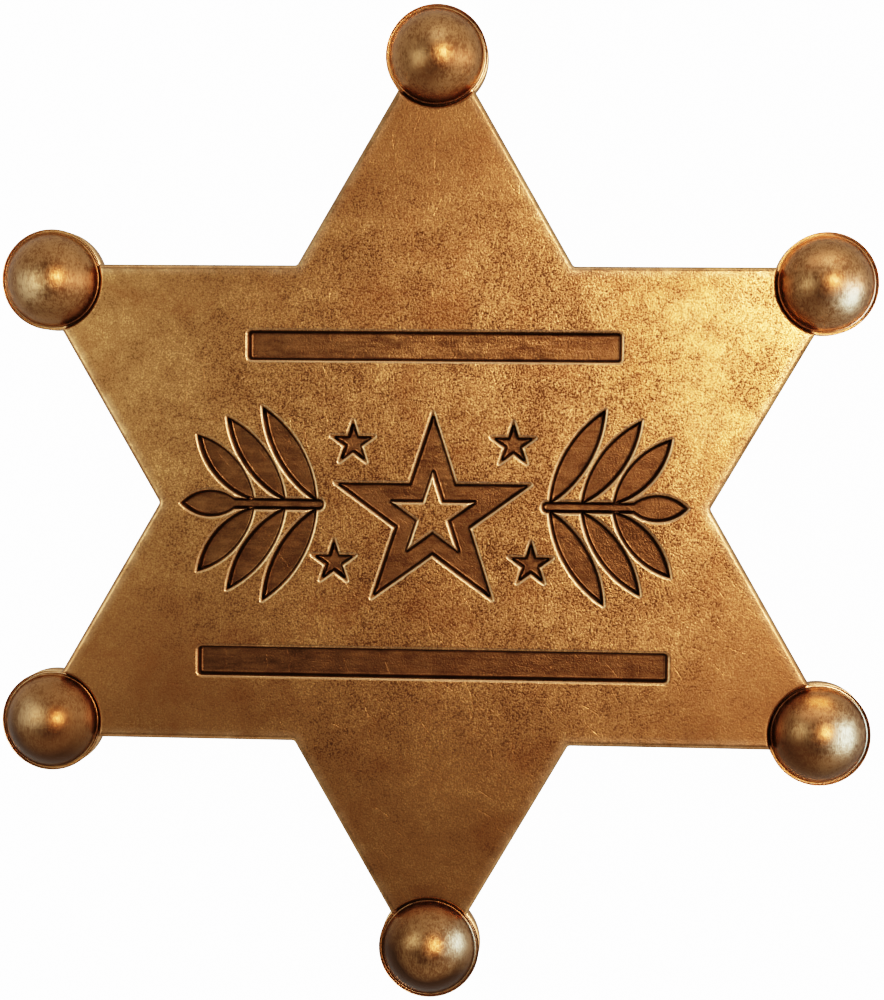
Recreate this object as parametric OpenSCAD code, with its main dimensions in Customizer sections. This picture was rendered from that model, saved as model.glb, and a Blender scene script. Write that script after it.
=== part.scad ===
// Sheriff star badge: a cast six-pointed star with domed ball tips, two sunk bars
// and a sunk ornament of an outlined star between laurel sprays. The front faces +Z,
// one point is up along +Y, and the badge lies on the clasp at its back.
// The origin is on the surface that it lies on, under the middle of the star.

/* [Star plate] */
// Distance from the middle of the star to the sharp tip of a point
point_radius = 36.7; // [34:0.1:40]
// Thickness of the cast plate
plate_thick = 2.8; // [2.2:0.1:4]
// Width of the bevel along the front edges
edge_bevel = 0.35; // [0.2:0.05:0.5]
// Depth of the sunk bars and ornament
recess_depth = 0.9; // [0.5:0.05:1.2]

/* [Ball tips] */
// How far the middle of a ball tip lies inside the sharp tip of its point
ball_inset = 2.4; // [1.8:0.1:3]
// Radius of the round lobe under a ball tip
lobe_radius = 3.9; // [3.4:0.05:4.4]
// Width of the bevel round the lobe
lobe_bevel = 0.2; // [0.1:0.05:0.3]
// Depth of the round seat below the face of the plate
seat_depth = 0.9; // [0.6:0.05:1.2]
// Width of the bevel round a seat
seat_bevel = 0.3; // [0.15:0.05:0.45]
// Space between the foot of a ball tip and the wall of its seat
seat_clearance = 0.35; // [0.2:0.05:0.5]
// Height of the flat foot ring of a ball tip
foot_height = 0.45; // [0.3:0.05:0.6]
// Width of the foot ring outside the dome
foot_ring = 0.12; // [0.05:0.01:0.3]
// Height of the dome above its foot ring
dome_height = 2.6; // [2:0.05:3.2]

/* [Sunk bars] */
// Length of the upper bar
upper_bar_length = 28.6; // [24:0.1:32]
// Length of the lower bar
lower_bar_length = 36.2; // [32:0.1:40]
// Width of both bars
bar_width = 2.2; // [1.6:0.1:2.8]
// Distance of each bar from the middle of the star
bar_offset = 12.2; // [10.5:0.1:14]
// Radius of the bars' corners
bar_corner = 0.3; // [0.1:0.05:0.6]

/* [Sunk ornament] */
// Radius of the outlined star, to its tips
emblem_radius = 7.9; // [7:0.1:8.6]
// Width of the outlined star's channel
emblem_line = 1.4; // [1:0.05:1.6]
// Radius of the four small stars beside the outlined star
small_star_radius = 1.75; // [1.4:0.05:2]
// Space between the outlined star and the root of a spray
spray_gap = 0.9; // [0.6:0.1:1.4]
// Space between the tip of a spray and the inner corner of the star
waist_margin = 1.7; // [1.4:0.1:2.4]
// Width of a spray's stem
stem_width = 0.8; // [0.6:0.05:1]
// Length of the longest leaf
leaf_length = 8.4; // [7:0.1:9]
// Width of a leaf at its middle
leaf_width = 2; // [1.6:0.05:2.2]

/* [Back clasp] */
// Height of the clasp behind the plate
clasp_height = 3.8; // [3.4:0.1:5]
// Length of the clasp along the badge
clasp_length = 34; // [28:0.5:38]
// Width of the clasp's end blocks
block_width = 6.4; // [5:0.2:8]
// Length of each end block
block_length = 4.6; // [4:0.1:6]
// Thickness of the strip that joins the end blocks
strip_thick = 0.8; // [0.6:0.1:1.2]
// Width of the strip
strip_width = 5; // [4:0.2:5]
// Radius of the pin's wire
wire_radius = 0.55; // [0.4:0.05:0.7]
// How far the wire lies above the flat underside of the end blocks
wire_lift = 0.25; // [0.2:0.05:0.5]
// How far the clasp lies above the middle of the star
clasp_raise = 1; // [0:0.1:1.5]
// Radius of the end blocks' rounded corners
block_corner = 0.8; // [0.4:0.1:1.2]
// Length of the pin's sharp end past the catch block
pin_point = 1.6; // [1:0.1:2.4]
// Radius of the sharp end at its blunted tip
pin_tip_radius = 0.14; // [0.1:0.02:0.2]

/* [Hidden] */
// Points of the badge, and points of the sunk stars
POINTS = 6;
STAR_POINTS = 5;
// Places of the ball tips, anticlockwise from the top, and the names of all pieces
BALL_PLACES = ["top", "upper_left", "lower_left", "bottom", "lower_right", "upper_right"];
// Circles keep their curve, and cutters pass the surface that they cut by this much
$fn = 96;
over = 1;
// Cutters reach this far to the sides, past every point of the star
reach = 2 * point_radius;
// Heights of the plate's back, its face, and the floor of the seats
back_z = clasp_height;
face_z = back_z + plate_thick;
seat_z = face_z - seat_depth;
// Distances from the middle: ball tips, the triangles' sides, the star's inner corners
ball_ring_radius = point_radius - ball_inset;
side_distance = point_radius / 2;
waist_radius = point_radius / sqrt(3);
// A ball tip's foot stands on the flat top of its lobe, and the dome inside the foot
foot_radius = lobe_radius - lobe_bevel;
dome_radius = foot_radius - foot_ring;
seat_radius = foot_radius + seat_clearance;
dome_curve = (pow(dome_radius, 2) + pow(dome_height, 2)) / (2 * dome_height);
// A five-pointed star is not as tall below its middle as above it, by twice this share
star_drop = (1 - cos(180 / STAR_POINTS)) / 2;
// Its inner corners lie at this share of its radius
star_waist = cos(360 / STAR_POINTS) / cos(180 / STAR_POINTS);
// Its side tips lie this far from its upright middle line
emblem_reach = emblem_radius * cos(90 / STAR_POINTS);
// The spray runs from beside the outlined star to the inner corner of the plate
spray_start = emblem_reach + spray_gap;
spray_end = waist_radius - waist_margin;
// The stem takes this share of it, and the leaf at its end the rest
stem_share = 0.66;
stem_end = spray_start + stem_share * (spray_end - spray_start);
leaf_start = spray_start + stem_width / 2;
// Pairs of leaves: place along the stem, share of the longest leaf, lean from the stem
LEAF_PAIRS = [
    [0.02, 1, 60],
    [0.37, 0.94, 55],
    [0.72, 0.8, 49]
];
// Middles of the small stars: along and up, as shares of the outlined star's radius
SMALL_STARS = [
    [0.78, 0.6],
    [0.96, -0.56]
];

// Everything inside one side of a triangle: its wall below z = 0 and its bevel above
module side_wedge() {
    rotate([90, 0, 90])
        linear_extrude(2 * reach, center = true)
            polygon([
                [-side_distance, -plate_thick],
                [-side_distance, 0],
                [plate_thick - side_distance, plate_thick],
                [reach, plate_thick],
                [reach, -plate_thick]
            ]);
}

// One of the two bevelled triangles that make the star, with the seats at its tips
module bevelled_triangle() {
    difference() {
        intersection() {
            translate([0, 0, back_z]) linear_extrude(plate_thick) square(2 * reach, center = true);
            translate([0, 0, face_z - edge_bevel])
                intersection() {
                    side_wedge();
                    rotate(120) side_wedge();
                    rotate(240) side_wedge();
                }
        }
        for (index = [0:2:POINTS - 1]) at_point(index) seat_cut();
    }
}

// Places its children at a point of the star, counted anticlockwise from the top
module at_point(index) {
    rotate(90 + 360 / POINTS * index) translate([ball_ring_radius, 0, 0]) children();
}

// Round lobe that carries a ball tip, bevelled round its flat top
module lobe() {
    rotate_extrude() polygon([
        [0, back_z],
        [lobe_radius, back_z],
        [lobe_radius, seat_z - lobe_bevel],
        [foot_radius, seat_z],
        [0, seat_z]
    ]);
}

// Cutter for the seat of a ball tip, flared to bevel the face round it
module seat_cut() {
    rotate_extrude() polygon([
        [0, seat_z],
        [seat_radius, seat_z],
        [seat_radius, face_z - seat_bevel],
        [seat_radius + seat_bevel + over, face_z + over],
        [0, face_z + over]
    ]);
}

// Outline of a bar with rounded corners, about its middle
module bar_outline(length, width, corner) {
    square([length - 2 * corner, width], center = true);
    square([length, width - 2 * corner], center = true);
    for (x = [-1, 1], y = [-1, 1])
        translate([x * (length / 2 - corner), y * (width / 2 - corner)]) circle(corner);
}

// Outline of a five-pointed star with one tip up
module star_outline(radius) {
    polygon([
        for (corner = [0:2 * STAR_POINTS - 1])
            let (turn = 90 + 180 / STAR_POINTS * corner)
                radius * (corner % 2 == 0 ? 1 : star_waist) * [cos(turn), sin(turn)]
    ]);
}

// Channel between an outer star and the raised star inside it
module emblem_outline() {
    translate([0, -emblem_radius * star_drop])
        difference() {
            star_outline(emblem_radius);
            star_outline(emblem_radius - emblem_line / sin(90 / STAR_POINTS));
        }
}

// Outline of a leaf: two arcs from its root at the origin to its tip along +X
module leaf_outline(length, width) {
    curve = (pow(length, 2) + pow(width, 2)) / (4 * width);
    intersection() {
        translate([length / 2, curve - width / 2]) circle(curve);
        translate([length / 2, width / 2 - curve]) circle(curve);
    }
}

// Outline of the right-hand spray: a stem, its pairs of leaves and the leaf at its end
module spray_outline() {
    translate([leaf_start, 0]) circle(stem_width / 2);
    translate([leaf_start, -stem_width / 2]) square([stem_end - leaf_start, stem_width]);
    for (pair = LEAF_PAIRS, side = [-1, 1])
        translate([leaf_start + pair[0] * (stem_end - leaf_start), side * stem_width / 4])
            rotate(side * pair[2]) leaf_outline(pair[1] * leaf_length, leaf_width);
    translate([stem_end - stem_width, 0]) leaf_outline(spray_end - stem_end + stem_width, leaf_width);
}

// Cutters for everything that is sunk into the face
module face_cuts() {
    translate([0, 0, face_z - recess_depth]) {
        linear_extrude(recess_depth + over)
            translate([0, bar_offset]) bar_outline(upper_bar_length, bar_width, bar_corner);
        linear_extrude(recess_depth + over)
            translate([0, -bar_offset]) bar_outline(lower_bar_length, bar_width, bar_corner);
        linear_extrude(recess_depth + over) emblem_outline();
        for (side = [0, 1]) mirror([side, 0, 0]) {
            linear_extrude(recess_depth + over) spray_outline();
            for (place = SMALL_STARS)
                translate([place[0] * emblem_radius, place[1] * emblem_radius, 0])
                    linear_extrude(recess_depth + over) star_outline(small_star_radius);
        }
    }
}

// Cast plate: the bevelled star with its seats and lobes, less the sunk design
module star_plate() {
    color([0.66, 0.47, 0.25])
        difference() {
            union() {
                bevelled_triangle();
                rotate(180) bevelled_triangle();
                for (index = [0:POINTS - 1]) at_point(index) lobe();
            }
            face_cuts();
        }
}

// Domed ball tip with a flat foot ring, seated on the lobe of its point
module ball_tip(index) {
    color([0.60, 0.42, 0.24])
        at_point(index) {
            translate([0, 0, seat_z]) cylinder(r = foot_radius, h = foot_height);
            translate([0, 0, seat_z + foot_height])
                intersection() {
                    translate([0, 0, dome_height - dome_curve]) sphere(dome_curve);
                    cylinder(r = dome_radius + over, h = dome_height + over);
                }
        }
}

// End block of the clasp, rolled at its corners and flat below and against the plate
module clasp_block() {
    translate([0, block_width / 2, clasp_height / 2])
        rotate([90, 0, 0])
            linear_extrude(block_width) bar_outline(block_length, clasp_height, block_corner);
}

// Back clasp as one plain piece: strip, hinge block, catch block and the closed pin
module pin_clasp() {
    block_place = (clasp_length - block_length) / 2;
    wire_z = wire_lift + wire_radius;
    color([0.52, 0.39, 0.22])
        translate([0, clasp_raise, 0]) {
            for (side = [-1, 1]) translate([side * block_place, 0, 0]) clasp_block();
            translate([0, 0, clasp_height - strip_thick / 2])
                cube([2 * block_place, strip_width, strip_thick], center = true);
            translate([-block_place, 0, wire_z])
                rotate([0, 90, 0]) cylinder(r = wire_radius, h = 2 * block_place);
            translate([clasp_length / 2, 0, wire_z])
                rotate([0, 90, 0]) cylinder(r1 = wire_radius, r2 = pin_tip_radius, h = pin_point);
        }
}

star_plate();
for (index = [0:POINTS - 1])
    ball_tip(index);
pin_clasp();
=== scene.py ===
"""Sheriff star badge in antique brass, lying front up on a pale floor."""

import math

import bmesh
import bpy
import numpy as np
from mathutils import Matrix, Vector
from mathutils.geometry import delaunay_2d_cdt


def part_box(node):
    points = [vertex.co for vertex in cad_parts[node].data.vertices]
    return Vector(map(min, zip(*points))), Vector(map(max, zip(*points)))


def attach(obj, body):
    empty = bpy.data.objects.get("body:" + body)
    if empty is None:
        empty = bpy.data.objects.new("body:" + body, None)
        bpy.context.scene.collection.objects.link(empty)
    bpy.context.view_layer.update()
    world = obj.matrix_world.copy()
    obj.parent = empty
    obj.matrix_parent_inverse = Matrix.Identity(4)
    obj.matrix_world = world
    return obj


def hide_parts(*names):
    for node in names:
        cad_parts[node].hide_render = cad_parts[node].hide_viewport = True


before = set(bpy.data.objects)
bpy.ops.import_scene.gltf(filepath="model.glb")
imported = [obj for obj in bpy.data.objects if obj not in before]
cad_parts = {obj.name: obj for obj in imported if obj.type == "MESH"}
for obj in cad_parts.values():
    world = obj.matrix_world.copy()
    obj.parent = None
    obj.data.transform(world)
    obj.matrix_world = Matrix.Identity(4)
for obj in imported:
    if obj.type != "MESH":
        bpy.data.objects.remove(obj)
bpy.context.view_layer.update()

# All sizes in the shapes below are in millimetres
MM = 0.001

# Sizes of the badge that the frame gives
plate_low, plate_high = (np.array(corner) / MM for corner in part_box("star_plate"))
clasp_low, clasp_high = (np.array(corner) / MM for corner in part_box("pin_clasp"))
BALL_NODES = sorted(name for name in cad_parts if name.startswith("ball_tip_"))
tip_low, tip_high = (np.array(corner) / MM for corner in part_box("ball_tip_top"))
FACE_Z = plate_high[2]
BACK_Z = plate_low[2]
SEAT_Z = tip_low[2]
TIP_TOP_Z = tip_high[2]
FOOT_RADIUS = (tip_high[0] - tip_low[0]) / 2
BALL_RING = (tip_low[1] + tip_high[1]) / 2
OUTLINE_GAP = 0.006
LOBE_RADIUS = plate_high[1] - BALL_RING - OUTLINE_GAP

# Star plate
POINTS = 6
BALL_INSET = 2.4
POINT_RADIUS = BALL_RING + BALL_INSET
WAIST_RADIUS = POINT_RADIUS / math.sqrt(3)
FACE_EDGE = 0.35
LOBE_EDGE = 0.2
BACK_EDGE = 0.2
WAIST_ROUND = 0.3
SEAT_RADIUS = 3.9
SEAT_DRAFT = 0.06
SEAT_EDGE = 0.2
WORN_BAND = 1.0

# Sunk bars and ornament
RECESS_DEPTH = 0.9
RIM = 0.2
DRAFT = 0.12
FILLET = 0.12
UPPER_BAR_LENGTH = 28.6
LOWER_BAR_LENGTH = 36.2
BAR_WIDTH = 2.2
BAR_OFFSET = 12.2
BAR_CORNER = 0.3
STAR_POINTS = 5
EMBLEM_RADIUS = 7.9
EMBLEM_LINE = 1.4
SMALL_STAR_RADIUS = 1.75
SPRAY_GAP = 0.9
WAIST_MARGIN = 1.7
STEM_WIDTH = 0.8
STEM_SHARE = 0.66
LEAF_LENGTH = 8.4
LEAF_WIDTH = 2.0
# Pairs of leaves: place along the stem, share of the longest leaf, lean in degrees
LEAF_PAIRS = [(0.02, 1.0, 60), (0.37, 0.94, 55), (0.72, 0.8, 49)]
# Middles of the small stars: along and up, as shares of the outlined star's radius
SMALL_STARS = [(0.78, 0.6), (0.96, -0.56)]

# Ball tips
FOOT_HEIGHT = 0.45
FOOT_EDGE = 0.08
FOOT_RING = 0.1
DOME_RADIUS = FOOT_RADIUS - FOOT_RING
DOME_ROWS = 30
TURNS_AROUND = 96
# A ball tip's side where its worn foot ring carries a painted highlight, and its side with painted dark
# reflection and shade, in degrees from +X, and how tarnished and shaded each one is
HIGHLIGHT_SIDE = -20
DARK_REFLECTION_SIDE = 250
BALL_TARNISH_AND_SHADE = {
    "ball_tip_top": 0.1,
    "ball_tip_upper_left": 0.4,
    "ball_tip_lower_left": 0.95,
    "ball_tip_bottom": 1.3,
    "ball_tip_lower_right": 0.65,
    "ball_tip_upper_right": 0.15,
}

# Back clasp
CLASP_LENGTH = 34.0
BLOCK_LENGTH = 4.6
BLOCK_EDGE = 0.7
STRIP_THICK = 0.8
STRIP_WIDTH = 5.0
STRIP_EDGE = 0.2
WIRE_RADIUS = 0.55
WIRE_LIFT = 0.25
PIN_POINT = 1.6
PIN_TIP_RADIUS = 0.14
WIRE_HOLD = 1.0
SHARP_ANGLE = 40

# Uneven casting: depth and length of its waves on the face and on the ball tips
FACE_RIPPLE = 0.02
FACE_WAVE = 7
FINE_RIPPLE = 0.006
FINE_WAVE = 1.4
DOME_DENT = 0.006
DENT_WAVE = 3

# Camera: place in millimetres, turns about Z, Y and X in degrees, focal length in pixels
CAMERA_PLACE = (11.47, 7.96, 166.6)
CAMERA_TURN = (0.52, 3.86, -2.64)
FOCAL_PIXELS = 2095.4
IMAGE_HEIGHT = 1000

# Light of the room from straight above and from around, its colour, and the glow of the floor
# as the camera sees it and as the brass mirrors it
ROOM_ABOVE = 0.05
ROOM_AROUND = 0.6
ROOM_COLOUR = (1.0, 0.97, 0.92, 1)
FLOOR_GLOW = 4.0
MIRRORED_GLOW = 0.4

# Camera response: the light that turns white, and the curve's gain, slope and top
WHITE_LEVEL = 5.0
RESPONSE_GAIN = 1.711
RESPONSE_SLOPE = 1.37
RESPONSE_TOP = 1.054
CURVE_POINTS = 16

# Spacing of mesh points along edges, over the face, and over the sunk floors
EDGE_STEP = 0.25
FACE_STEP = 1.0
FLOOR_STEP = 0.45

# Reach of the distances to the outlines, how near points merge, and steps to find a line's end
FAR = 1.2
MERGE = 0.004
HALVINGS = 12

# Lines of mesh points along every edge, as distances from it, with a guard line past each
GUARD = 0.1
FACE_LINES = (0, 0.045, 0.13, 0.24, FACE_EDGE, FACE_EDGE + GUARD, 0.7 * WORN_BAND, WORN_BAND)
LOBE_LINES = (0, 0.03, 0.09, LOBE_EDGE, LOBE_EDGE + GUARD)
SEAT_LINES = (-SEAT_DRAFT - GUARD, -SEAT_DRAFT, 0, 0.03, 0.08, 0.14, SEAT_EDGE, SEAT_EDGE + GUARD)
RIM_LINES = (0, 0.02, 0.06, 0.12, RIM, RIM + GUARD)
WALL_LINES = (DRAFT, DRAFT + 0.03, DRAFT + 0.07, DRAFT + FILLET, DRAFT + FILLET + GUARD / 2)


def unit(degrees):
    """Unit vector at an angle from +X."""
    return np.array([math.cos(math.radians(degrees)), math.sin(math.radians(degrees))])


def side_points(outline, step=EDGE_STEP):
    """The outline with more points along its long sides."""
    points = []
    for start, end in zip(outline, np.roll(outline, -1, axis=0)):
        count = max(1, round(math.dist(start, end) / step))
        points += [start + (end - start) * k / count for k in range(count)]
    return np.array(points)


def arc_points(centre, radius, start, end, step=EDGE_STEP):
    """Points along an arc, angles in degrees, without its last point."""
    count = max(3, math.ceil(math.radians(abs(end - start)) * radius / step))
    return [centre + radius * unit(start + (end - start) * k / count) for k in range(count)]


def circle_points(centre, radius):
    """Points round a circle."""
    return np.array(arc_points(np.array(centre), radius, 0, 360))


def bar_outline(length, width, corner, centre):
    """Outline of a bar with rounded corners."""
    half = np.array([length / 2 - corner, width / 2 - corner])
    quarters = []
    for quarter, signs in enumerate([(1, 1), (-1, 1), (-1, -1), (1, -1)]):
        middle = np.array(centre) + half * signs
        quarters += arc_points(middle, corner, 90 * quarter, 90 * quarter + 90, corner / 4)
        quarters.append(middle + corner * unit(90 * quarter + 90))
    return np.array(quarters)


def small_star_outline(radius, centre):
    """Outline of a five-pointed star with one tip up."""
    waist = math.cos(2 * math.pi / STAR_POINTS) / math.cos(math.pi / STAR_POINTS)
    turn = 180 / STAR_POINTS
    corners = []
    for k, reach in enumerate([radius, radius * waist] * STAR_POINTS):
        corners.append(np.array(centre) + reach * unit(90 + turn * k))
    return np.array(corners)


def badge_outline():
    """Outline of the six-pointed star, with its inner corners a little rounded."""
    points = []
    for k in range(POINTS):
        tip = 90 + 360 / POINTS * k
        notch = tip + 180 / POINTS
        points.append(POINT_RADIUS * unit(tip))
        centre = (WAIST_RADIUS + WAIST_ROUND / math.sin(math.radians(60))) * unit(notch)
        points += arc_points(centre, WAIST_ROUND, notch + 210, notch + 150, WAIST_ROUND / 6)
        points.append(centre + WAIST_ROUND * unit(notch + 150))
    return np.array(points)


def leaf_outline(root, turn, length, width):
    """Outline of a leaf: two arcs from its root to its tip."""
    curve = (length ** 2 + width ** 2) / (4 * width)
    spread = math.degrees(math.asin(length / 2 / curve))
    drop = curve - width / 2
    lower = arc_points(np.array([length / 2, drop]), curve, 270 - spread, 270 + spread)
    upper = arc_points(np.array([length / 2, -drop]), curve, 90 - spread, 90 + spread)
    along, across = unit(turn), unit(turn + 90)
    return np.array([np.array(root) + x * along + y * across for x, y in lower + upper])


def mirrored(outline):
    """The outline on the other side of the badge, still anticlockwise."""
    return (outline * (-1, 1))[::-1]


def spray_outlines():
    """The right-hand spray: a stem, its pairs of leaves and the leaf at its end."""
    start = EMBLEM_RADIUS * math.cos(math.radians(90 / STAR_POINTS)) + SPRAY_GAP
    end = WAIST_RADIUS - WAIST_MARGIN
    stem_end = start + STEM_SHARE * (end - start)
    root = start + STEM_WIDTH / 2
    half = STEM_WIDTH / 2
    stem = arc_points(np.array([root, 0.0]), half, 90, 270, half / 4)
    stem += [np.array(p) for p in ([root, -half], [stem_end, -half], [stem_end, half])]
    outlines = [np.array(stem)]
    for place, share, lean in LEAF_PAIRS:
        for side in (-1, 1):
            foot = (root + place * (stem_end - root), side * STEM_WIDTH / 4)
            outlines.append(leaf_outline(foot, side * lean, share * LEAF_LENGTH, LEAF_WIDTH))
    end_root = stem_end - STEM_WIDTH
    outlines.append(leaf_outline((end_root, 0), 0, end - end_root, LEAF_WIDTH))
    return outlines


def recess_parts():
    """Everything sunk into the face, as pairs of an outline and the raised island inside it."""
    drop = EMBLEM_RADIUS * (1 - math.cos(math.pi / STAR_POINTS)) / 2
    island = EMBLEM_RADIUS - EMBLEM_LINE / math.sin(math.radians(90 / STAR_POINTS))
    parts = [
        (bar_outline(UPPER_BAR_LENGTH, BAR_WIDTH, BAR_CORNER, (0, BAR_OFFSET)), None),
        (bar_outline(LOWER_BAR_LENGTH, BAR_WIDTH, BAR_CORNER, (0, -BAR_OFFSET)), None),
        (small_star_outline(EMBLEM_RADIUS, (0, -drop)), small_star_outline(island, (0, -drop))),
    ]
    sides = spray_outlines()
    for along, up in SMALL_STARS:
        centre = (along * EMBLEM_RADIUS, up * EMBLEM_RADIUS)
        sides.append(small_star_outline(SMALL_STAR_RADIUS, centre))
    for outline in sides:
        parts += [(outline, None), (mirrored(outline), None)]
    return parts


def outline_distance(points, outline):
    """Distance of each point to a closed outline, negative inside it and at most FAR."""
    low, high = outline.min(0) - FAR, outline.max(0) + FAR
    near = np.nonzero(((points > low) & (points < high)).all(1))[0]
    distance = np.full(len(points), FAR)
    if not len(near):
        return distance
    x, y = points[near, 0][:, None], points[near, 1][:, None]
    (ax, ay), (bx, by) = outline.T, np.roll(outline, -1, axis=0).T
    ux, uy = bx - ax, by - ay
    share = np.clip(((x - ax) * ux + (y - ay) * uy) / (ux ** 2 + uy ** 2), 0, 1)
    gap = np.hypot(x - ax - share * ux, y - ay - share * uy).min(1)
    level = np.where(uy == 0, 1, uy)
    crossed = ((ay > y) != (by > y)) & (x < ax + (y - ay) / level * ux)
    inside = crossed.sum(1) % 2 == 1
    distance[near] = np.where(inside, -gap, gap)
    return distance


RECESSES = recess_parts()
STAR_OUTLINE = badge_outline()
BALL_CENTRES = np.array([BALL_RING * unit(90 + 360 / POINTS * k) for k in range(POINTS)])


def recess_distance(points):
    """Distance to the nearest sunk outline, negative inside a recess."""
    distance = np.full(len(points), FAR)
    for outline, island in RECESSES:
        own = outline_distance(points, outline)
        if island is not None:
            own = np.maximum(own, -outline_distance(points, island))
        distance = np.minimum(distance, own)
    return distance


def ball_distance(points):
    """Distance to the middle of the nearest ball tip."""
    return np.hypot(*(points[:, None] - BALL_CENTRES).transpose(2, 0, 1)).min(1)


def edge_distance(points):
    """Distance inside the badge's own outline, which joins the star and its lobes."""
    inside_star = -outline_distance(points, STAR_OUTLINE)
    return np.maximum(inside_star, LOBE_RADIUS - ball_distance(points))


def offset_outline(outline, gap):
    """The outline moved outwards by gap, rounded where it bends that way, with more points."""
    side = np.roll(outline, -1, axis=0) - outline
    normal = np.stack([side[:, 1], -side[:, 0]], 1) / np.hypot(*side.T)[:, None]
    points = []
    for place, before, after in zip(outline, np.roll(normal, 1, axis=0), normal):
        bend = math.atan2(before[0] * after[1] - before[1] * after[0], before @ after)
        if gap * bend > abs(gap) * math.radians(10):
            start = math.degrees(math.atan2(before[1], before[0]))
            turns = math.ceil(abs(bend) / math.radians(15))
            for k in range(turns + 1):
                points.append(place + gap * unit(start + math.degrees(bend) * k / turns))
        else:
            points.append(place + gap * (before + after) / (1 + before @ after))
    return side_points(np.array(points))


class Chains:
    """Points of the mesh, and the edges between them that have to stay edges."""

    def __init__(self):
        self.points = []
        self.edges = []

    def add(self, ring, error, tolerance=0.002):
        """Adds the parts of a closed ring where error is nearly nothing, cut off where it grows."""
        good = np.abs(error(ring)) < tolerance
        following = np.roll(ring, -1, axis=0)
        ends = good != np.roll(good, -1)
        inner = np.where(good[:, None], ring, following)[ends]
        outer = np.where(good[:, None], following, ring)[ends]
        for _ in range(HALVINGS if len(inner) else 0):
            middle = (inner + outer) / 2
            fits = (np.abs(error(middle)) < tolerance)[:, None]
            inner, outer = np.where(fits, middle, inner), np.where(fits, outer, middle)
        cuts = dict(zip(np.nonzero(ends)[0], inner))
        first = len(self.points)
        place = {}
        for k in np.nonzero(good)[0]:
            place[k] = first + len(place)
            self.points.append(ring[k])
        for k in range(len(ring)):
            after = (k + 1) % len(ring)
            if k in place and after in place:
                self.edges.append((place[k], place[after]))
            elif k in cuts:
                self.edges.append((place[k] if k in place else place[after], len(self.points)))
                self.points.append(cuts[k])

    def scatter(self, points):
        """Adds loose points."""
        self.points += list(points)


def grid_points(step, seed):
    """Points spread evenly over the badge, a little out of line."""
    reach = BALL_RING + LOBE_RADIUS
    count = int(2 * reach / step)
    line = (np.arange(count) + 0.5) * step - reach
    x, y = np.meshgrid(line, line)
    points = np.stack([x.ravel(), y.ravel()], 1)
    shuffle = np.random.default_rng(seed)
    return points + shuffle.uniform(-0.25, 0.25, points.shape) * step


def ripple(points, size, seed):
    """Smooth random waves about as long as size, from -1 to 1."""
    shuffle = np.random.default_rng(seed)
    total = np.zeros(len(points))
    waves = 12
    for _ in range(waves):
        turn, phase = shuffle.uniform(0, 2 * math.pi, 2)
        length = size * shuffle.uniform(0.7, 1.5)
        along = points[:, 0] * math.cos(turn) + points[:, 1] * math.sin(turn)
        total += np.sin(2 * math.pi * along / length + phase)
    return np.clip(total / math.sqrt(2 * waves), -1, 1)


def rounded(distance, radius):
    """How far a rounded edge drops at a distance inside it."""
    short = radius - np.clip(distance, 0, radius)
    return radius - np.sqrt(radius ** 2 - short ** 2)


def front_height(points):
    """Height of the cast front, its edge wear, and the other values that the finish reads."""
    edge = edge_distance(points)
    ball = ball_distance(points)
    recess = recess_distance(points)
    face = FACE_Z - rounded(edge, FACE_EDGE)
    seat = SEAT_Z - rounded(edge, LOBE_EDGE)
    brim = FACE_Z - rounded(ball - SEAT_RADIUS, SEAT_EDGE)
    wall = np.clip((ball - SEAT_RADIUS + SEAT_DRAFT) / SEAT_DRAFT, 0, 1)
    seat = np.where(ball < SEAT_RADIUS, seat + (FACE_Z - SEAT_EDGE - seat) * wall, brim)
    height = np.minimum(face, seat)

    floor = FACE_Z - RECESS_DEPTH
    rim = FACE_Z - rounded(recess, RIM)
    down = np.clip(-recess / DRAFT, 0, 1)
    wall = FACE_Z - RIM - (RECESS_DEPTH - RIM - FILLET) * down
    foot = floor + rounded(-recess - DRAFT, FILLET)
    sunk = np.where(recess >= 0, rim, np.where(recess > -DRAFT, wall, foot))
    height = np.minimum(height, sunk)

    even = np.clip((ball - SEAT_RADIUS) / SEAT_EDGE, 0, 1) * np.clip(edge / FACE_EDGE, 0, 1)
    height -= FACE_RIPPLE * even * (1 + ripple(points, FACE_WAVE, 11)) / 2
    height -= FINE_RIPPLE * even * (1 + ripple(points, FINE_WAVE, 12)) / 2

    crest = np.maximum(1 - np.abs(recess - RIM / 2) / RIM, 0)
    crest = np.maximum(crest, 0.6 * (1 - np.abs(edge - FACE_EDGE / 2) / FACE_EDGE))
    crest = np.maximum(crest, 0.4 * (1 - np.abs(ball - SEAT_RADIUS - SEAT_EDGE / 2) / SEAT_EDGE))
    crest = np.where(ball < SEAT_RADIUS, 0.4 * np.clip(1 - edge / LOBE_EDGE, 0, 1), crest)
    depth = np.clip((FACE_Z - RIM / 2 - height) / (RECESS_DEPTH - RIM), 0, 1)
    depth = np.where(ball < SEAT_RADIUS + SEAT_EDGE, 0, depth)
    depth = np.where(recess < RIM, depth, 0)
    # Painted shade, with some patina, in the crease between each ball tip's foot and its seat
    crease_patina_and_shade = np.clip((SEAT_RADIUS + SEAT_EDGE / 4 - ball) / SEAT_EDGE * 2, 0, 1)
    crease_patina_and_shade *= np.interp(edge / LOBE_EDGE, [0, 1, 2], [0, 0, 0.85])
    lobe_rim = np.clip(2 - edge / LOBE_EDGE, 0, 1) * (ball < SEAT_RADIUS)
    band = np.clip(1 - edge / WORN_BAND, 0, 1) * (ball > SEAT_RADIUS)
    shares = {"sunk": depth, "crease_patina_and_shade": crease_patina_and_shade, "worn_band": band, "lobe_rim": lobe_rim}
    return height, np.clip(crest, 0, 1), shares


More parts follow.
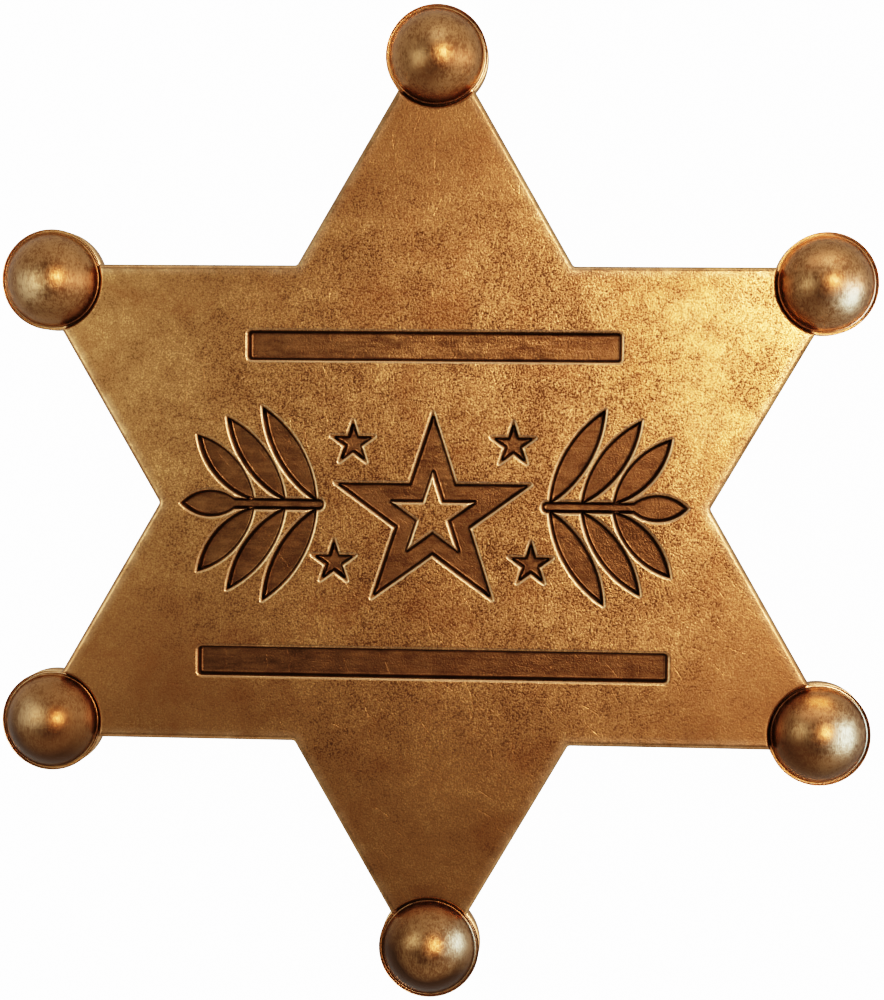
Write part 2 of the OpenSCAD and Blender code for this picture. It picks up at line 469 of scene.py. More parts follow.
def front_chains():
    """Every line of the front that has to show: the outline, rounded edges, seats and recesses."""
    chains = Chains()
    for level in FACE_LINES:
        ring = offset_outline(STAR_OUTLINE, -level)
        chains.add(ring, lambda p, level=level: edge_distance(p) - level)
    for level in LOBE_LINES:
        for centre in BALL_CENTRES:
            ring = circle_points(centre, LOBE_RADIUS - level)
            chains.add(ring, lambda p, level=level: edge_distance(p) - level)
    for out in SEAT_LINES:
        for centre in BALL_CENTRES:
            ring = circle_points(centre, SEAT_RADIUS + out)
            chains.add(ring, lambda p: np.minimum(edge_distance(p), 0))
    for level in (*RIM_LINES, *(-inside for inside in WALL_LINES)):
        for outline, island in RECESSES:
            rings = [offset_outline(outline, level)]
            if island is not None:
                rings.append(offset_outline(island, -level))
            for ring in rings:
                chains.add(ring, lambda p, level=level: recess_distance(p) - level)
    return chains


def front_mesh():
    """Points and triangles of the front, seen from straight above."""
    chains = front_chains()
    coarse = grid_points(FACE_STEP, 1)
    clear = edge_distance(coarse) > FACE_EDGE + 2 * GUARD
    clear &= recess_distance(coarse) > RIM + 2 * GUARD
    clear &= np.abs(ball_distance(coarse) - SEAT_RADIUS) > SEAT_EDGE + 2 * GUARD
    chains.scatter(coarse[clear])
    fine = grid_points(FLOOR_STEP, 2)
    chains.scatter(fine[recess_distance(fine) < -DRAFT - FILLET - GUARD])
    flat = [Vector(point) for point in chains.points]
    points, _, faces, *_ = delaunay_2d_cdt(flat, chains.edges, [], 0, MERGE)
    points = np.array([tuple(point) for point in points])
    faces = np.array(faces)
    middle = points[faces].mean(1)
    faces = faces[edge_distance(middle) > 1e-5]
    used, faces = np.unique(faces, return_inverse=True)
    return points[used], faces.reshape(-1, 3)


def border_loop(faces):
    """The border of a set of triangles as one loop of points, anticlockwise."""
    sides = {(int(a), int(b)) for f in faces for a, b in zip(f, np.roll(f, -1))}
    following = {a: b for a, b in sides if (b, a) not in sides}
    start = min(following)
    loop = [start]
    while following[loop[-1]] != start:
        loop.append(following[loop[-1]])
    return loop


def placed(name, data):
    """A new object in the scene."""
    thing = bpy.data.objects.new(name, data)
    bpy.context.scene.collection.objects.link(thing)
    return thing


def solid_object(name, points, faces, values=None):
    """A smooth-shaded object from points in millimetres, with a value for each point by name."""
    mesh = bpy.data.meshes.new(name)
    mesh.from_pydata((np.array(points) * MM).tolist(), [], faces)
    mesh.update()
    mesh.shade_smooth()
    for label, numbers in (values or {}).items():
        layer = mesh.attributes.new(label, "FLOAT", "POINT")
        layer.data.foreach_set("value", np.array(numbers, np.float32))
    return placed(name, mesh)


def back_mesh(ring, inner):
    """Triangles inside the ring round the back: their points, and which of them are the ring's."""
    coarse = grid_points(2 * FACE_STEP, 3)
    coarse = coarse[edge_distance(coarse) > 1]
    count = len(ring)
    flat = [Vector(point) for point in (*ring, *inner, *coarse)]
    edges = [(start + k, start + (k + 1) % count) for start in (0, count) for k in range(count)]
    points, _, faces, origins, *_ = delaunay_2d_cdt(flat, edges, [], 0, 0)
    points = np.array([tuple(point) for point in points])
    faces = np.array(faces)
    faces = faces[outline_distance(points[faces].mean(1), ring) < -1e-6]
    on_ring = [next((k for k in origin if k < count), None) for origin in origins]
    return points, faces, on_ring


def star_plate():
    """The cast plate: its front, its wall and its rounded back edge, closed behind."""
    flat, triangles = front_mesh()
    height, crest, values = front_height(flat)
    points = [*np.column_stack([flat, height])]
    faces = triangles.tolist()
    crest = list(crest)
    above = border_loop(faces)
    count = len(above)
    rim = flat[above]
    side = np.roll(rim, -1, axis=0) - np.roll(rim, 1, axis=0)
    inward = np.stack([-side[:, 1], side[:, 0]], 1) / np.hypot(*side.T)[:, None]
    for turn in (0, 30, 60, 90):
        across, up = BACK_EDGE * (1 - unit(turn))
        ring = rim + across * inward
        below = list(range(len(points), len(points) + count))
        points += [*np.column_stack([ring, np.full(count, BACK_Z + up)])]
        crest += [0.6 if 0 < turn < 90 else 0.2] * count
        for k in range(count):
            after = (k + 1) % count
            faces.append([above[k], below[k], below[after], above[after]])
        above = below
    back, triangles, on_ring = back_mesh(ring, rim + (BACK_EDGE + GUARD) * inward)
    place = {}
    for k, ring_place in enumerate(on_ring):
        if ring_place is None:
            place[k] = len(points)
            points.append(np.array([*back[k], BACK_Z]))
            crest.append(0)
        else:
            place[k] = above[ring_place]
    faces += [[place[c], place[b], place[a]] for a, b, c in triangles.tolist()]
    for label, row in values.items():
        values[label] = np.append(row, np.zeros(len(points) - len(row)))
    values["edge_crest"] = crest
    return solid_object("cast_star_plate", points, faces, values)


def turned_dome(centre, profile, seed):
    """A turned piece, a little dented: its points, its faces, and how far up each point is.

    The profile holds pairs of radius and height, from the axis to the axis.
    """
    points, faces = [np.array([*centre, profile[0][1]])], []
    turns = [unit(360 * k / TURNS_AROUND) for k in range(TURNS_AROUND)]
    for radius, height in profile[1:-1]:
        points += [np.array([*(centre + radius * turn), height]) for turn in turns]
    points.append(np.array([*centre, profile[-1][1]]))
    last = len(points) - 1
    rows = len(profile) - 2
    top = last - TURNS_AROUND
    for k in range(TURNS_AROUND):
        after = (k + 1) % TURNS_AROUND
        faces.append([0, 1 + after, 1 + k])
        for row in range(rows - 1):
            low = 1 + row * TURNS_AROUND
            high = low + TURNS_AROUND
            faces.append([low + k, low + after, high + after, high + k])
        faces.append([top + k, top + after, last])
    points = np.array(points)
    rise = np.clip((points[:, 2] - profile[0][1]) / (profile[-1][1] - profile[0][1]), 0, 1)
    dent = DOME_DENT * rise * (1 + ripple(points[:, :2], DENT_WAVE, seed)) / 2
    out = points[:, :2] - centre
    points[:, 2] -= dent
    points[:, :2] -= out / (np.hypot(*out.T)[:, None] + 1) * dent[:, None]
    return points, faces, rise


def ball_tip(node, seed):
    """A domed ball tip on its flat foot ring."""
    low, high = (np.array(corner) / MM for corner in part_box(node))
    centre = (low[:2] + high[:2]) / 2
    dome_base = SEAT_Z + FOOT_HEIGHT
    rise = TIP_TOP_Z - dome_base
    curve = (DOME_RADIUS ** 2 + rise ** 2) / (2 * rise)
    profile = [(0, SEAT_Z), (FOOT_RADIUS - FOOT_EDGE, SEAT_Z)]
    low_edge = (SEAT_Z + FOOT_EDGE, (-60, -30, 0))
    high_edge = (dome_base - FOOT_EDGE, (0, 25, 50, 75))
    for middle, turns in (low_edge, high_edge):
        for turn in turns:
            across, up = FOOT_EDGE * unit(turn)
            profile.append((FOOT_RADIUS - FOOT_EDGE + across, middle + up))
    lean = math.degrees(math.asin(DOME_RADIUS / curve))
    for k in range(DOME_ROWS):
        across, up = curve * unit(90 - lean * (1 - k / DOME_ROWS))
        profile.append((across, TIP_TOP_Z - curve + up))
    profile.append((0, TIP_TOP_Z))
    points, faces, rise = turned_dome(centre, profile, seed)

    foot_top = FOOT_HEIGHT / (TIP_TOP_Z - SEAT_Z)
    out = (points[:, :2] - centre) / FOOT_RADIUS
    crest = np.interp(rise, [0, foot_top * 0.6, foot_top, foot_top * 1.25], [0.0, 0.4, 0.6, 0.0])
    # Painted highlight: the foot ring's worn edge is brightest on its right-hand side, where the window
    # light falls
    crest *= np.interp(out @ unit(HIGHLIGHT_SIDE), [-0.6, 0.7], [0.1, 1.0])
    crest *= np.interp(out @ centre / np.hypot(*centre), [-0.8, -0.4], [0.2, 1.0])
    # Painted shade and dark reflection, with some real darkening of tarnished balls, strongest on each
    # ball's lower-left side
    tarnish_and_shade = BALL_TARNISH_AND_SHADE[node] * np.interp(out @ unit(DARK_REFLECTION_SIDE), [-0.4, 0.5], [0.15, 1.0])
    dome_rise = np.interp(rise, [foot_top, 1], [0.0, 1.0])
    values = {"edge_crest": crest, "dome_rise": dome_rise, "tarnish_and_shade": tarnish_and_shade}
    return solid_object(node.replace("ball_tip", "domed_ball"), points, faces, values)


def block(low, high, edge):
    """A bmesh block with its edges rounded."""
    mesh = bmesh.new()
    size, middle = Vector(high) - Vector(low), (Vector(high) + Vector(low)) / 2
    place = Matrix.LocRotScale(middle * MM, None, size * MM)
    bmesh.ops.create_cube(mesh, size=1, matrix=place)
    bmesh.ops.bevel(
        mesh, geom=mesh.edges[:], offset=edge * MM, segments=3, profile=0.5, affect="EDGES",
    )
    return mesh


def rod(start, end, radius, end_radius):
    """A bmesh rod along X between two middles."""
    mesh = bmesh.new()
    length, middle = end[0] - start[0], (Vector(start) + Vector(end)) / 2
    turn = Matrix.Translation(middle * MM) @ Matrix.Rotation(math.pi / 2, 4, "Y")
    bmesh.ops.create_cone(
        mesh, cap_ends=True, segments=32, radius1=radius * MM, radius2=end_radius * MM,
        depth=length * MM, matrix=turn,
    )
    return mesh


def joined(name, parts):
    """One object from overlapping bmesh parts, smooth between its sharp corners."""
    made = []
    for part in parts:
        mesh = bpy.data.meshes.new(name + "_part")
        part.to_mesh(mesh)
        part.free()
        made.append(placed(name + "_part", mesh))
    for other in made[1:]:
        union = made[0].modifiers.new("union", "BOOLEAN")
        union.operation = "UNION"
        union.solver = "EXACT"
        union.object = other
    depsgraph = bpy.context.evaluated_depsgraph_get()
    mesh = bpy.data.meshes.new_from_object(made[0].evaluated_get(depsgraph))
    mesh.name = name
    for thing in made:
        bpy.data.objects.remove(thing)
    mesh.shade_smooth()
    mesh.set_sharp_from_angle(angle=math.radians(SHARP_ANGLE))
    return placed(name, mesh)


def pin_clasp():
    """The back clasp as one plain piece: strip, two end blocks and the closed pin."""
    middle = (clasp_low[1] + clasp_high[1]) / 2
    width = clasp_high[1] - clasp_low[1]
    half = CLASP_LENGTH / 2
    inner = half - BLOCK_LENGTH
    wire = WIRE_LIFT + WIRE_RADIUS
    return joined("back_pin_clasp", [
        block((-half, middle - width / 2, 0), (-inner, middle + width / 2, BACK_Z), BLOCK_EDGE),
        block((inner, middle - width / 2, 0), (half, middle + width / 2, BACK_Z), BLOCK_EDGE),
        block(
            (-inner - BLOCK_EDGE, middle - STRIP_WIDTH / 2, BACK_Z - STRIP_THICK),
            (inner + BLOCK_EDGE, middle + STRIP_WIDTH / 2, BACK_Z), STRIP_EDGE,
        ),
        rod(
            (-inner - WIRE_HOLD, middle, wire), (inner + WIRE_HOLD, middle, wire),
            WIRE_RADIUS, WIRE_RADIUS,
        ),
        rod((half - WIRE_HOLD, middle, wire), (half, middle, wire), WIRE_RADIUS, WIRE_RADIUS),
        rod((half, middle, wire), (half + PIN_POINT, middle, wire), WIRE_RADIUS, PIN_TIP_RADIUS),
    ])


class Graph:
    """A node tree, with short calls for the nodes that the finishes are made of."""

    def __init__(self, tree):
        self.tree = tree

    def feed(self, socket, value):
        """Links an output to a socket, or sets the socket's own value."""
        if isinstance(value, bpy.types.NodeSocket):
            self.tree.links.new(value, socket)
        elif value is not None:
            socket.default_value = value

    def node(self, kind, inputs=None, **settings):
        """A new node with its settings, and its inputs by name or number."""
        made = self.tree.nodes.new("ShaderNode" + kind)
        for name, value in settings.items():
            setattr(made, name, value)
        for key, value in (inputs or {}).items():
            self.feed(made.inputs[key], value)
        return made

    def calc(self, operation, *values):
        """One step of arithmetic."""
        return self.node("Math", dict(enumerate(values)), operation=operation).outputs[0]

    def product(self, first, *others):
        """All the values multiplied."""
        for other in others:
            first = self.calc("MULTIPLY", first, other)
        return first

    def total(self, start, *parts):
        """The start plus each value times its weight."""
        for value, weight in parts:
            start = self.calc("MULTIPLY_ADD", value, weight, start)
        return start

    def vector(self, operation, *values):
        """One step of arithmetic on places."""
        return self.node("VectorMath", dict(enumerate(values)), operation=operation).outputs[0]

    def scaled(self, place, factor):
        """The place times a number."""
        inputs = {0: place, "Scale": factor}
        return self.node("VectorMath", inputs, operation="SCALE").outputs[0]

    def turned(self, place, degrees):
        """The place turned about the upright axis."""
        inputs = {"Vector": place, "Axis": (0, 0, 1), "Angle": self.calc("RADIANS", degrees)}
        return self.node("VectorRotate", inputs, rotation_type="AXIS_ANGLE").outputs[0]

    def spread(self, value, low, high, to_low=0.0, to_high=1.0):
        """Eases a value from one range to another and keeps it there."""
        inputs = {"Value": value, "From Min": low, "From Max": high, "To Min": to_low, "To Max": to_high}
        return self.node("MapRange", inputs, interpolation_type="SMOOTHSTEP").outputs[0]

    def noise(self, place, detail, rough, bend=0.0):
        """Random clouds of size one, from about 0 to 1."""
        inputs = {"Vector": place, "Scale": 1.0, "Detail": detail, "Roughness": rough, "Distortion": bend}
        return self.node("TexNoise", inputs).outputs[0]

    def mix(self, share, first, second):
        """The first colour, with a share of the second over it."""
        made = self.node("Mix", data_type="RGBA")
        self.feed(made.inputs["Factor"], share)
        self.feed(made.inputs[6], first)
        self.feed(made.inputs[7], second)
        return made.outputs[2]

    def attribute(self, name):
        """A value that the mesh holds for each of its points."""
        return self.node("Attribute", attribute_name=name).outputs["Fac"]

    def effect(self, name, **inputs):
        """Places a shared effect with its own values, and gives its mask."""
        made = self.node("Group", node_tree=EFFECTS[name])
        for label, value in inputs.items():
            self.feed(made.inputs[label.replace("_", " ").capitalize()], value)
        return made.outputs[0]

    def millimetres(self):
        """The place on the badge, in millimetres."""
        return self.scaled(self.node("TexCoord").outputs["Object"], 1 / MM)


def effect_group(name, output, inputs):
    """Starts a shared effect: its graph, its inputs by name and the socket of its one output."""
    group = bpy.data.node_groups.new(name, "ShaderNodeTree")
    for label, start in inputs.items():
        kind = "NodeSocketVector" if start is None else "NodeSocketFloat"
        socket = group.interface.new_socket(name=label, in_out="INPUT", socket_type=kind)
        if start is not None:
            socket.default_value = start
    group.interface.new_socket(name=output, in_out="OUTPUT", socket_type="NodeSocketFloat")
    given = group.nodes.new("NodeGroupInput").outputs
    result = group.nodes.new("NodeGroupOutput").inputs[output]
    return group, Graph(group), given, result


def scratches():
    """A short scratch in some of the patches, nearly straight and each its own way, from 0 to 1."""
    group, graph, given, result = effect_group("scratches", "Mask", {
        "Place": None, "Patch": 1.0, "Length": 0.8, "Width": 0.06,
        "Presence": 0.6, "Turn": 0.0, "Swing": 180.0,
    })
    shrink = graph.calc("DIVIDE", 1.0, given["Patch"])
    place = graph.scaled(given["Place"], shrink)
    inputs = {"Vector": place, "Scale": 1.0}
    cells = graph.node("TexVoronoi", inputs, voronoi_dimensions="2D").outputs
    draw = graph.node("SeparateColor", {0: cells["Color"]}).outputs
    swing = graph.calc("MULTIPLY", graph.calc("SUBTRACT", draw[0], 0.5), given["Swing"])
    from_middle = graph.vector("SUBTRACT", place, cells["Position"])
    spun = graph.turned(from_middle, graph.calc("ADD", swing, given["Turn"]))
    along, across = graph.node("SeparateXYZ", {0: spun}).outputs[0:2]
    bend = graph.product(along, along, graph.spread(draw[2], 0.0, 1.0, -0.2, 0.2))
    half = graph.product(given["Length"], shrink, 0.5)
    ends = graph.spread(graph.calc("ABSOLUTE", along), half, graph.calc("MULTIPLY", half, 0.5))
    off = graph.calc("ABSOLUTE", graph.calc("ADD", across, bend))
    line = graph.spread(off, graph.calc("MULTIPLY", given["Width"], shrink), 0.0)
    kept = graph.calc("LESS_THAN", draw[1], given["Presence"])
    graph.feed(result, graph.product(line, ends, kept))
    return group


def long_streaks():
    """Soft streaks that all run one way, from 0 to 1."""
    group, graph, given, result = effect_group("long streaks", "Streaks", {
        "Place": None, "Turn": 0.0, "Length": 3.0, "Width": 0.2,
    })
    along = graph.calc("DIVIDE", 1.0, given["Length"])
    across = graph.calc("DIVIDE", 1.0, given["Width"])
    shrink = graph.node("CombineXYZ", {0: along, 1: across, 2: across}).outputs[0]
    place = graph.vector("MULTIPLY", graph.turned(given["Place"], given["Turn"]), shrink)
    graph.feed(result, graph.spread(graph.noise(place, 2.0, 0.6, 0.3), 0.3, 0.7))
    return group


def fine_grain():
    """The grain of old metal, as small as the eye can see, from 0 to 1."""
    group, graph, given, result = effect_group("fine grain", "Grain", {"Place": None, "Size": 0.12})
    place = graph.scaled(given["Place"], graph.calc("DIVIDE", 1.0, given["Size"]))
    graph.feed(result, graph.spread(graph.noise(place, 2.0, 0.6), 0.28, 0.72))
    return group


def cloudy_tone():
    """Soft clouds of tone, from 0 to 1."""
    group, graph, given, result = effect_group("cloudy tone", "Tone", {
        "Place": None, "Size": 6.0, "Contrast": 0.5,
    })
    place = graph.scaled(given["Place"], graph.calc("DIVIDE", 1.0, given["Size"]))
    cloud = graph.noise(place, 4.0, 0.55, 0.6)
    half = graph.calc("MULTIPLY", graph.calc("SUBTRACT", 1.0, given["Contrast"]), 0.5)
    graph.feed(result, graph.spread(cloud, half, graph.calc("SUBTRACT", 1.0, half)))
    return group


def pits():
    """Small round pits scattered over the metal."""
    group, graph, given, result = effect_group("pits", "Mask", {
        "Place": None, "Spacing": 1.0, "Radius": 0.2, "Presence": 0.4,
    })
    place = graph.scaled(given["Place"], graph.calc("DIVIDE", 1.0, given["Spacing"]))
    cells = graph.node("TexVoronoi", {"Vector": place, "Scale": 1.0}, feature="F1").outputs
    hole = graph.spread(cells["Distance"], given["Radius"], 0.0)
    draw = graph.node("SeparateColor", {0: cells["Color"]}).outputs[0]
    graph.feed(result, graph.product(hole, graph.calc("LESS_THAN", draw, given["Presence"])))
    return group


def edge_wear():
    """Where handling has rubbed the edges bright: the crest of an edge, broken up."""
    group, graph, given, result = effect_group("edge wear", "Mask", {
        "Crest": 0.0, "Place": None, "Amount": 1.0,
    })
    rough = graph.noise(graph.scaled(given["Place"], 1.4), 3.0, 0.6)
    worn = graph.total(0.0, (given["Crest"], 1.5), (rough, -0.8))
    graph.feed(result, graph.product(graph.spread(worn, 0.0, 0.8), given["Amount"]))
    return group


EFFECTS = {
    "grain": fine_grain(),
    "scratches": scratches(),
    "streaks": long_streaks(),
    "tone": cloudy_tone(),
    "pits": pits(),
    "wear": edge_wear(),
}

# Areas of the plate: middle, how far each is full, and how far it reaches
HANDLED_MIDDLE = ((3, 3), 12, 31)
# The upper right corner is a painted highlight: the lamp's reflection, painted into the face colour
HIGHLIGHT_CORNER = ((26, 13), 3, 17)
RUBBED_FLOOR = ((2, 12), 4, 12)
SOOTY_FLOOR = ((26, 2), 8, 22)

# Patina spots on the face, and painted dark reflections on the ball tips: the same, and how strong each
# is
FACE_STAINS = [
    ((-27, -17), 4, 17, 0.4),
    ((0, 29), 3, 12, 0.2),
    ((27, -17), 3, 14, 0.28),
    ((-4.6, 15.3), 0.6, 4.0, 0.25),
]
# The ball tip spots below are painted dark reflections, drawn in red patina
BALL_DARK_REFLECTIONS = [
    ((-0.65, 32.8), 0.2, 1.7, 0.6),
    ((28.6, 16.1), 0.2, 1.6, 0.5),
    ((28.1, -18.5), 0.4, 2.5, 0.65),
    ((-28.5, -18.2), 0.4, 2.6, 0.45),
    ((-29.5, -17.2), 1.5, 4.2, 0.3),
]

# Hairlines, from short to long: patch and length, turn and swing in degrees, and strength
HAIRLINES = [(0.62, 0.7, 0, 180, 0.85), (2.3, 3.0, 142, 60, 1.0), (6.5, 8.0, 90, 9, 1.0)]

# Colours of the brass, from the darkest patina and painted shade to the metal rubbed bright and a painted
# highlight, and of the floor
PATINA_AND_SHADE_BLACK = (0.018, 0.008, 0.004, 1)
DARK_PATINA = (0.085, 0.037, 0.013, 1)
RED_PATINA = (0.22, 0.078, 0.024, 1)
EARTH_BRASS = (0.25, 0.122, 0.045, 1)
BROWN_BRASS = (0.37, 0.182, 0.064, 1)
UMBER_BRASS = (0.32, 0.147, 0.058, 1)
OLIVE_BRASS = (0.64, 0.345, 0.15, 1)
GOLD_BRASS = (1.0, 0.56, 0.20, 1)
HIGHLIGHT_GOLD = (1.0, 0.53, 0.15, 1)
BRIGHT_BRASS = (1.0, 0.68, 0.36, 1)
PAPER_SHADE = (0.45, 0.44, 0.42, 1)
PAPER_WHITE = (0.47, 0.46, 0.44, 1)


def new_material(name):
    """A material with its graph and its one shader."""
    material = bpy.data.materials.new(name)
    material.use_nodes = True
    graph = Graph(material.node_tree)
    shader = material.node_tree.nodes["Principled BSDF"]
    shader.inputs["Metallic"].default_value = 1.0
    return material, graph, shader


def relief(graph, shader, height, depth):
    """Feeds a height from 0 to 1 to the shader's normal, with its depth in millimetres."""
    bump = graph.node("Bump", {"Height": height, "Distance": depth * MM, "Strength": 1.0})
    graph.feed(shader.inputs["Normal"], bump.outputs[0])


def near(graph, place, middle, inner, outer):
    """One within a distance of a place on the badge, falling to zero further out."""
    flat = graph.vector("MULTIPLY", graph.vector("SUBTRACT", place, (*middle, 0)), (1, 1, 0))
    away = graph.node("VectorMath", {0: flat}, operation="LENGTH").outputs["Value"]
    return graph.spread(away, outer, inner)


def stains_and_dark_reflections(graph, place, colour, spots, cloud):
    """The colour with red patina over its spots, broken up by a cloudy tone: patina on the face, painted
    dark reflections on the ball tips.
    """
    cloud = graph.calc("ADD", cloud, 0.5)
    for spot, inner, outer, strength in spots:
        darkening = graph.product(near(graph, place, spot, inner, outer), strength, cloud)
        colour = graph.mix(darkening, colour, RED_PATINA)
    return colour


def face_colour(graph, place, level, corner, cloud):
    """The face, from brown to gold, with its patina spots, a painted highlight on its upper right corner
    and its worn outline.
    """
    face = graph.mix(graph.spread(level, -0.1, 0.55), DARK_PATINA, BROWN_BRASS)
    face = graph.mix(graph.spread(level, 0.5, 1.25), face, GOLD_BRASS)
    red = graph.effect("tone", place=place, size=4.5, contrast=0.75)
    face = graph.mix(graph.product(graph.spread(red, 0.45, 1.0), 0.42), face, RED_PATINA)
    face = stains_and_dark_reflections(graph, place, face, FACE_STAINS, cloud)
    # Painted highlight: the upper right corner turned yellow-gold as the lamp's reflection
    painted_highlight = graph.product(corner, graph.total(0.15, (cloud, 0.7)), graph.total(0.1, (level, 1.1)))
    face = graph.mix(painted_highlight, face, HIGHLIGHT_GOLD)
    band = graph.spread(graph.attribute("worn_band"), 0.0, 0.7)
    face = graph.mix(graph.product(band, graph.total(0.02, (cloud, 0.25))), face, BRIGHT_BRASS)
    return graph.mix(graph.product(graph.attribute("lobe_rim"), 0.65), face, BRIGHT_BRASS)


def recess_colour(graph, place, face, grain, cloud):
    """The sunk floors, rubbed like the face in the upper bar's middle and sooty on the right."""
    streaks = graph.effect("streaks", place=place, turn=0.0, length=1.6, width=0.2)
    smears = graph.effect("streaks", place=place, turn=3.0, length=2.2, width=0.8)
    dark = graph.total(0.0, (streaks, 0.2), (smears, 0.2), (grain, 0.3), (cloud, 0.3))
    floor = graph.mix(graph.spread(dark, 0.15, 0.95), DARK_PATINA, EARTH_BRASS)
    floor = graph.mix(graph.product(smears, 0.12), floor, RED_PATINA)
    rubbed = graph.product(near(graph, place, *RUBBED_FLOOR), streaks, smears)
    floor = graph.mix(rubbed, floor, face)
    sooty = graph.product(near(graph, place, *SOOTY_FLOOR), 0.55)
    return graph.mix(sooty, floor, DARK_PATINA)


def plate_finish():
    """Cast brass, patinated, then worn and scratched on its face, with a painted highlight on its upper
    right corner and on edges facing up the badge, and painted shade in its recesses and round the ball
    tips.
    """
    material, graph, shader = new_material("plate_brass")
    place = graph.millimetres()
    middle = near(graph, place, *HANDLED_MIDDLE)
    # The upper right corner, where the lamp's highlight is painted
    corner = near(graph, place, *HIGHLIGHT_CORNER)
    busy = graph.calc("MAXIMUM", graph.total(0.5, (middle, 0.62)), corner)

    # Fine marks, strongest where the face is busy, in the middle and in the painted highlight corner, and
    # soft clouds
    grain = graph.effect("grain", place=place, size=0.13)
    fibre = graph.effect("streaks", place=place, turn=88.0, length=0.5, width=0.1)
    hair = 0.0
    for patch, length, turn, swing, strength in HAIRLINES:
        line = graph.effect(
            "scratches", place=place, patch=patch, length=length, width=0.04,
            presence=0.5, turn=turn, swing=swing,
        )
        hair = graph.calc("MAXIMUM", graph.calc("MULTIPLY", line, strength), hair)
    crack = graph.effect(
        "scratches", place=place, patch=1.6, length=2.0, width=0.055, presence=0.4,
    )
    speck = graph.effect("pits", place=place, spacing=0.26, radius=0.34, presence=0.25)
    dark_marks = graph.calc("MAXIMUM", crack, speck)
    large = graph.effect("tone", place=place, size=6.0, contrast=0.65)
    small = graph.effect("tone", place=place, size=1.5, contrast=0.6)
    fine = graph.total(-0.825, (grain, 0.95), (fibre, 0.22), (hair, 0.29), (dark_marks, -0.32))
    soft = graph.total(0.315, (large, 0.36), (small, 0.28))
    level = graph.calc("MULTIPLY_ADD", fine, busy, soft)

    # The face, and the sunk floors inside their walls, painted dark as shade with patina
    face = face_colour(graph, place, level, corner, small)
    floor = recess_colour(graph, place, face, grain, small)
    sunk = graph.attribute("sunk")
    colour = graph.mix(graph.spread(sunk, 0.1, 0.5), face, floor)
    # Painted shade: the recess walls darkened to black, partly as patina
    wall = graph.product(graph.spread(sunk, 0.08, 0.35), graph.spread(sunk, 1.0, 0.9))
    colour = graph.mix(wall, colour, PATINA_AND_SHADE_BLACK)

    # Edges rubbed bright, most of all in the middle; brighter where they face up the badge, which is a
    # painted highlight of the light from the top
    upward = graph.node("SeparateXYZ", {0: graph.node("TexCoord").outputs["Normal"]}).outputs["Y"]
    # The upward factor is a painted highlight on edges that face the light from the top
    handled = graph.product(graph.total(0.12, (middle, 0.42)), graph.spread(upward, -0.4, 0.1, 0.3, 1.0))
    wear = graph.effect("wear", crest=graph.attribute("edge_crest"), place=place, amount=handled)
    colour = graph.mix(wear, colour, BRIGHT_BRASS)
    # Painted shade, with some black patina, in the crease round each ball tip
    colour = graph.mix(graph.attribute("crease_patina_and_shade"), colour, PATINA_AND_SHADE_BLACK)
    graph.feed(shader.inputs["Base Color"], colour)
    graph.feed(shader.inputs["Roughness"], graph.spread(level, 0.0, 1.0, 0.35, 0.28))
    height = graph.total(0.0, (grain, 0.6), (dark_marks, -0.5))
    relief(graph, shader, graph.product(height, busy), depth=0.011)
    return material


def ball_finish():
    """Satin brass under a warm patina, scratched on top and rubbed bright round the foot, with painted
    dark reflections, painted shade low on each dome's lower-left side, and a painted highlight on the
    right of the foot ring.
    """
    material, graph, shader = new_material("ball_brass")
    place = graph.millimetres()
    tone = graph.effect("tone", place=place, size=2.4, contrast=0.55)
    fine = graph.effect("tone", place=place, size=0.4, contrast=0.6)
    grain = graph.effect("streaks", place=place, turn=86.0, length=0.4, width=0.11)
    hair = graph.effect(
        "scratches", place=place, patch=0.35, length=0.55, width=0.035, presence=0.8,
    )
    level = graph.total(0.0, (tone, 0.4), (fine, 0.35), (grain, 0.3))
    colour = graph.mix(graph.spread(level, 0.26, 0.74), UMBER_BRASS, OLIVE_BRASS)
    colour = graph.mix(graph.product(tone, 0.35), colour, RED_PATINA)
    colour = graph.mix(graph.product(hair, 0.15), colour, GOLD_BRASS)
    # Painted dark reflections on the domes, as red patina spots
    colour = stains_and_dark_reflections(graph, place, colour, BALL_DARK_REFLECTIONS, fine)
    # Painted shade low on the domes, strongest on the lower-left side, with some real darkening of
    # tarnished balls
    low_down = graph.spread(graph.attribute("dome_rise"), 1.0, 0.55)
    grime_and_shade = graph.product(low_down, graph.attribute("tarnish_and_shade"))
    colour = graph.mix(grime_and_shade, colour, DARK_PATINA)
    # The foot ring's rubbed edge, with a painted highlight on its right-hand side
    wear = graph.effect("wear", crest=graph.attribute("edge_crest"), place=place, amount=0.55)
    colour = graph.mix(wear, colour, BRIGHT_BRASS)
    graph.feed(shader.inputs["Base Color"], colour)
    graph.feed(shader.inputs["Roughness"], graph.total(0.31, (fine, 0.08)))
    relief(graph, shader, graph.total(fine, (grain, 0.3), (hair, -0.5)), depth=0.006)
    return material


def clasp_finish():
    """Plain rolled brass, dull and handled."""
    material, graph, shader = new_material("clasp_brass")
    place = graph.millimetres()
    tone = graph.effect("tone", place=place, size=4.0, contrast=0.5)
    grain = graph.effect("streaks", place=place, turn=0.0, length=3.0, width=0.15)
    level = graph.total(0.0, (tone, 0.6), (grain, 0.4))
    graph.feed(shader.inputs["Base Color"], graph.mix(level, BROWN_BRASS, GOLD_BRASS))
    graph.feed(shader.inputs["Roughness"], graph.total(0.35, (grain, 0.15)))
    relief(graph, shader, grain, depth=0.006)
    return material


